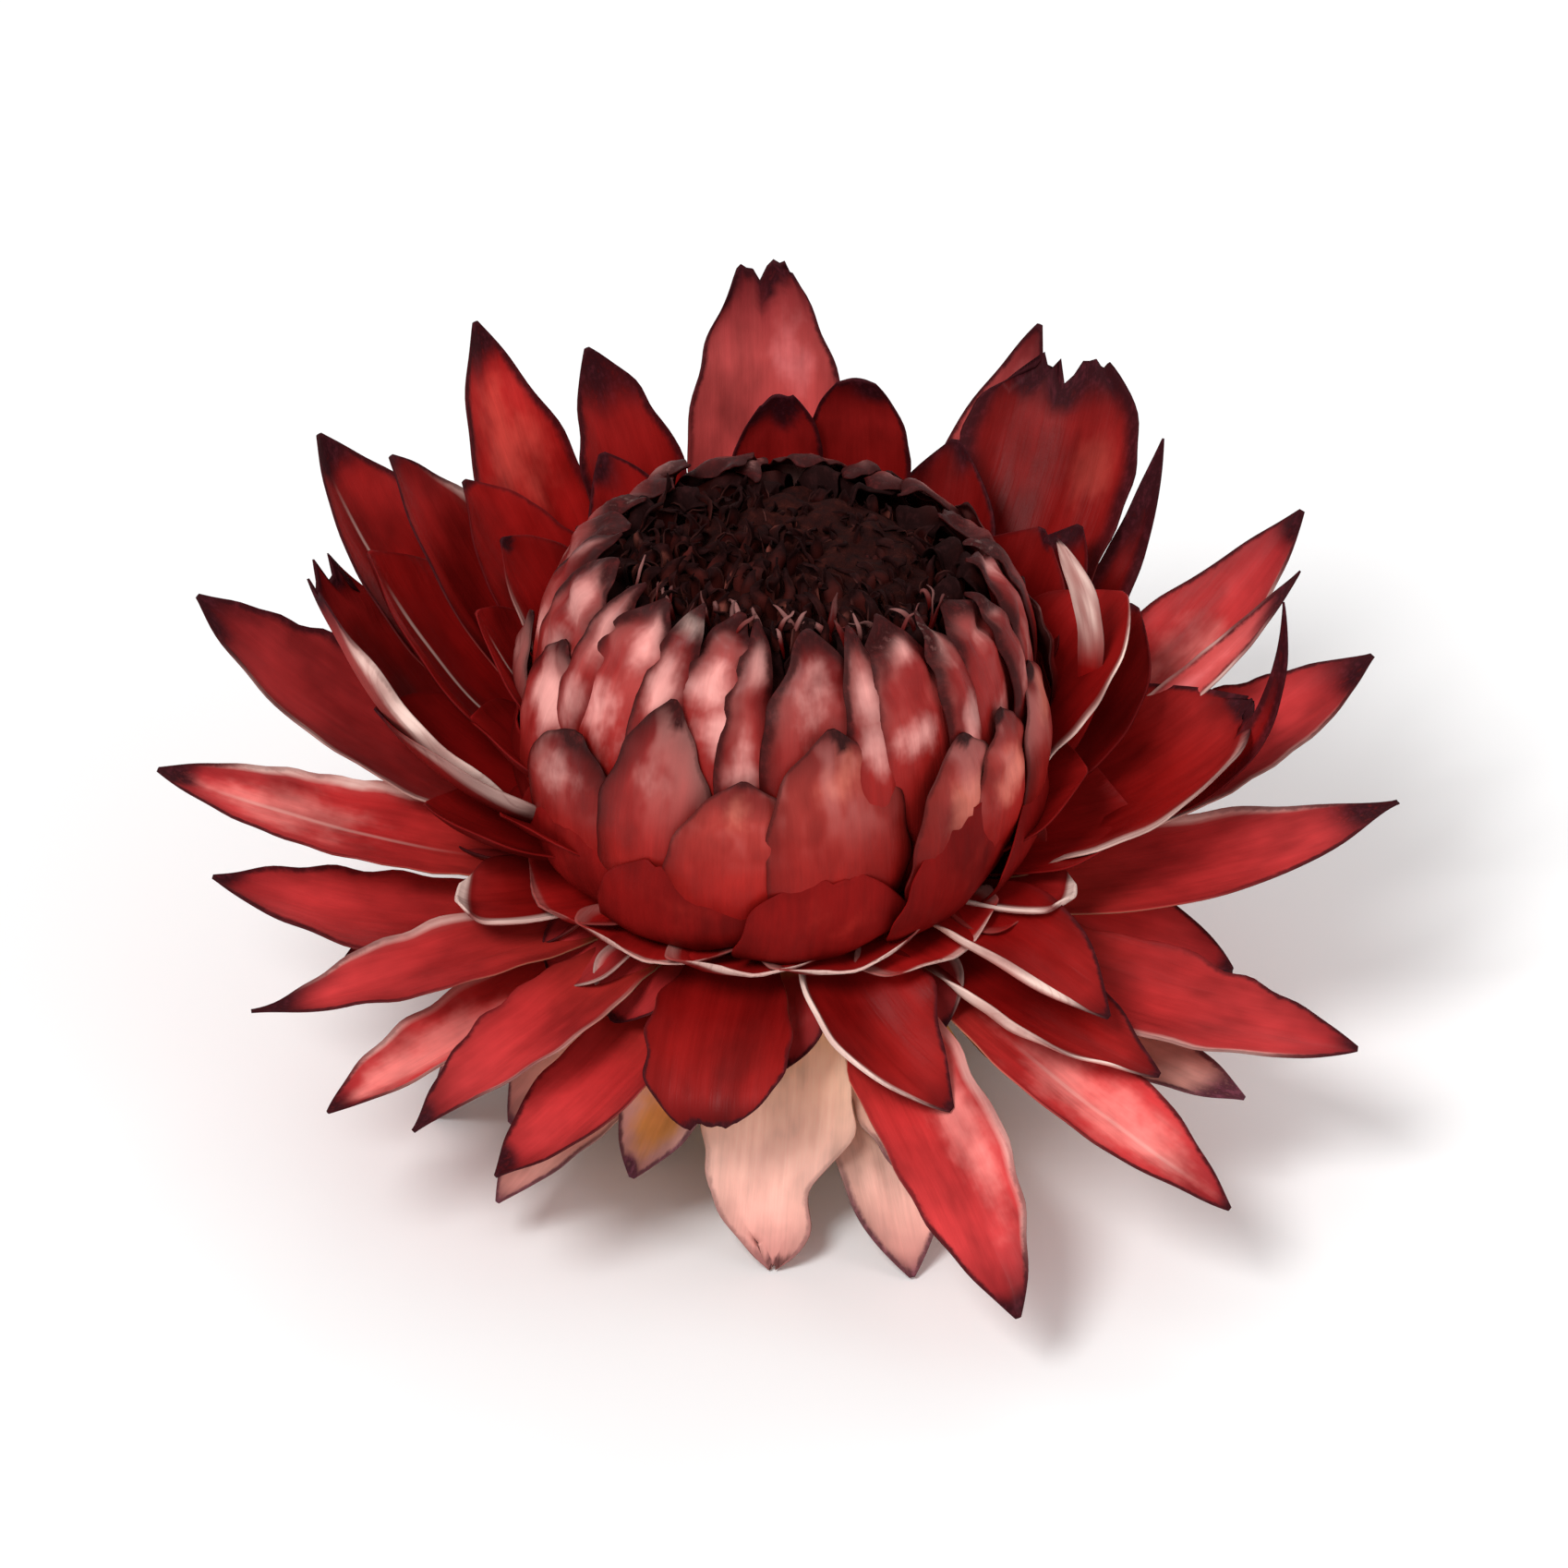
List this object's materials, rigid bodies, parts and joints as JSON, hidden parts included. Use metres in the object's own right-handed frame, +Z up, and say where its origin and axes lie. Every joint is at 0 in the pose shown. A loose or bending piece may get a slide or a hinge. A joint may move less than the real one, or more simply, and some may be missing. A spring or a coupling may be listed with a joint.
{
  "type": "dried flower head",
  "caption": "Half-open dried strawflower head: papery crimson bracts spread around a closed bud with a dark floret crown, paler bracts turned down beneath.",
  "frame": {"origin": "centre of the base of the bounding box, on the surface that the head rests on; the head's own axis is within a millimetre of it", "axes": "+Z up along the head's axis, from the cut stem to the bud's crown; +X and +Y lie in the resting plane, and the front, where the broad bracts lie flat, faces -Y"},
  "size_m": [0.0366, 0.0322, 0.0203],
  "materials": {
    "crimson_bract": "dried papery bract, slightly glossy crimson inside, matt outside, purple-black margins",
    "red_bract": "dried papery bract, bright red, narrow dark tip",
    "rose_bract": "dried papery bract, glossy rose patch, dark sides",
    "pale_bract": "dried papery bract, peach to cream, matt",
    "amber_bract": "small dried papery bract, amber, matt",
    "receptacle": "dried pithy stem tissue, matt straw colour",
    "dried_florets": "shrivelled dark florets and chaff, matt, almost black"
  },
  "bodies": {
    "root": {"receptacle": "receptacle", "floret_disc": "dried_florets", "cup_bract_01": "crimson_bract", "cup_bract_02": "crimson_bract", "cup_bract_03": "crimson_bract", "cup_bract_04": "crimson_bract", "cup_bract_05": "crimson_bract", "cup_bract_06": "crimson_bract", "cup_bract_07": "crimson_bract", "cup_bract_08": "crimson_bract", "cup_bract_09": "crimson_bract", "cup_bract_10": "crimson_bract", "cup_bract_11": "crimson_bract", "cup_bract_12": "crimson_bract", "cup_bract_13": "crimson_bract", "cup_bract_14": "crimson_bract", "ring_bract_01": "red_bract", "ring_bract_02": "red_bract", "ring_bract_03": "red_bract", "ring_bract_04": "red_bract", "ring_bract_05": "red_bract", "ring_bract_06": "red_bract", "ring_bract_07": "red_bract", "ring_bract_08": "red_bract", "ring_bract_09": "red_bract", "ring_bract_10": "red_bract", "ring_bract_11": "red_bract", "ring_bract_12": "red_bract", "ring_bract_13": "red_bract", "ring_bract_14": "red_bract", "ring_bract_15": "red_bract", "ring_bract_16": "red_bract", "skirt_bract_01": "pale_bract", "skirt_bract_02": "pale_bract", "skirt_bract_03": "pale_bract", "skirt_bract_04": "pale_bract", "skirt_bract_05": "pale_bract", "skirt_bract_06": "pale_bract", "skirt_bract_07": "pale_bract", "skirt_bract_08": "pale_bract", "skirt_bract_09": "pale_bract", "skirt_bract_10": "pale_bract", "base_bract_01": "amber_bract", "base_bract_02": "amber_bract", "base_bract_03": "amber_bract", "base_bract_04": "amber_bract", "base_bract_05": "amber_bract", "bud_bract_01": "rose_bract", "bud_bract_02": "rose_bract", "bud_bract_03": "rose_bract", "bud_bract_04": "rose_bract", "bud_bract_05": "rose_bract", "bud_bract_06": "rose_bract", "bud_bract_07": "rose_bract", "bud_bract_08": "rose_bract", "bud_bract_09": "rose_bract", "bud_bract_10": "rose_bract", "bud_bract_11": "rose_bract", "bud_bract_12": "rose_bract", "bud_bract_13": "rose_bract"}
  },
  "joints": []
}
